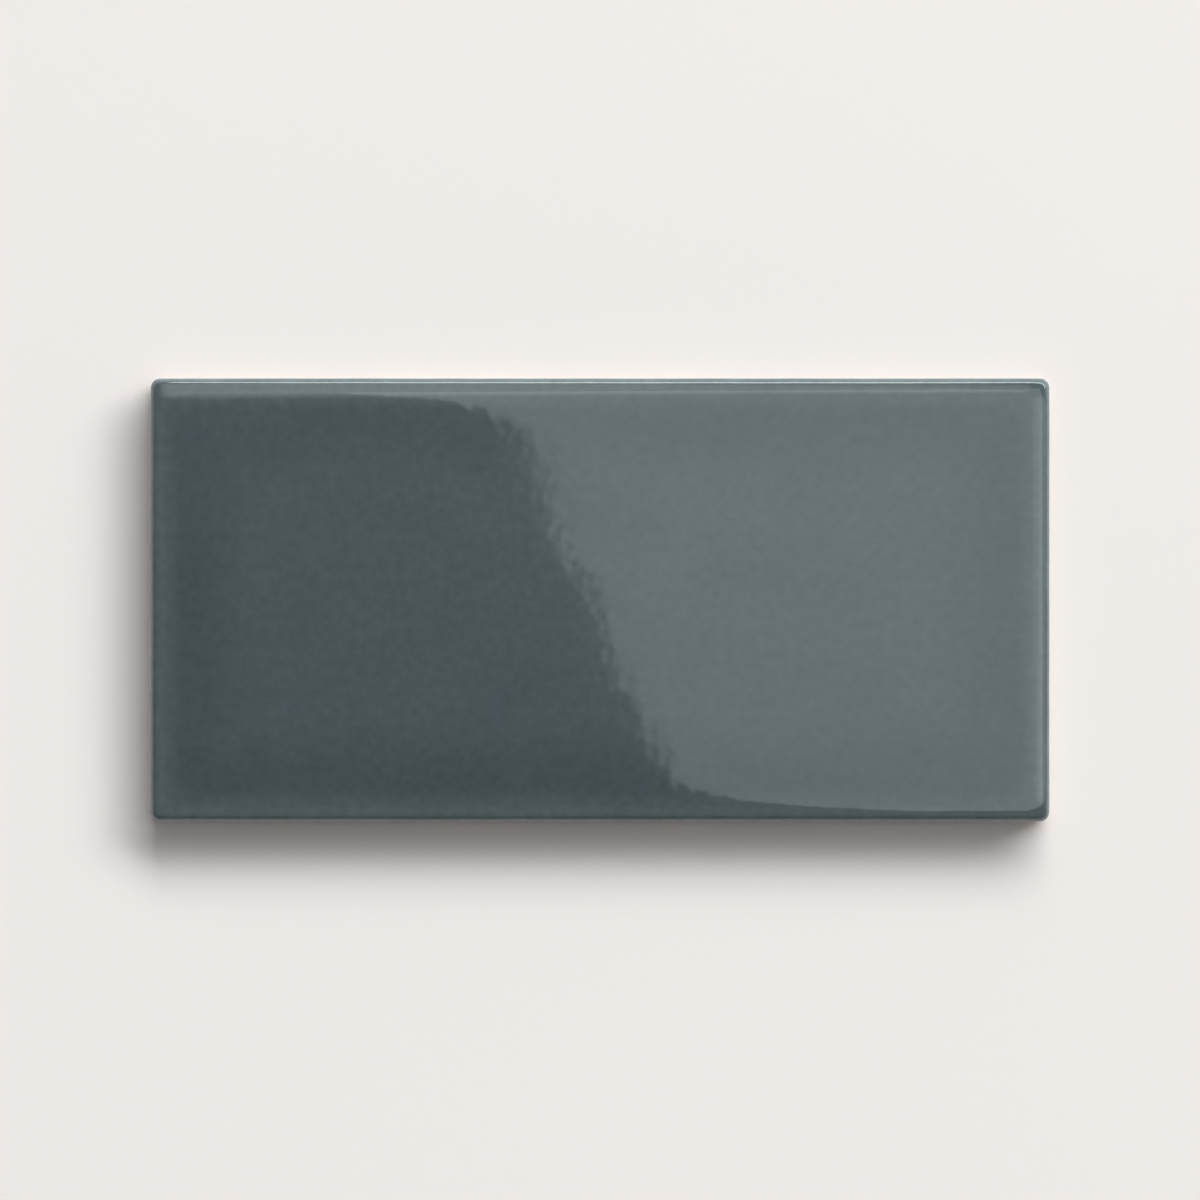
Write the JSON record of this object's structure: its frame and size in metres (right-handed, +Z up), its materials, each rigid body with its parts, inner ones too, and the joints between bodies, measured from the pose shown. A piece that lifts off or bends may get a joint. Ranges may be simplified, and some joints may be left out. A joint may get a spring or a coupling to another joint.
{
  "type": "subway tile",
  "caption": "Rectangular ceramic wall tile with a glossy glazed face that falls softly to rounded edges, and a ribbed back that keys into adhesive.",
  "frame": {"origin": "middle of the back, in the plane of its ribs and rim", "axes": "+X along the long side, +Y along the short side, +Z up through the glazed face"},
  "size_m": [0.148, 0.073, 0.008],
  "materials": {
    "glazed_body": "gloss"
  },
  "bodies": {
    "root": {"subway_tile": "glazed_body"}
  },
  "joints": []
}
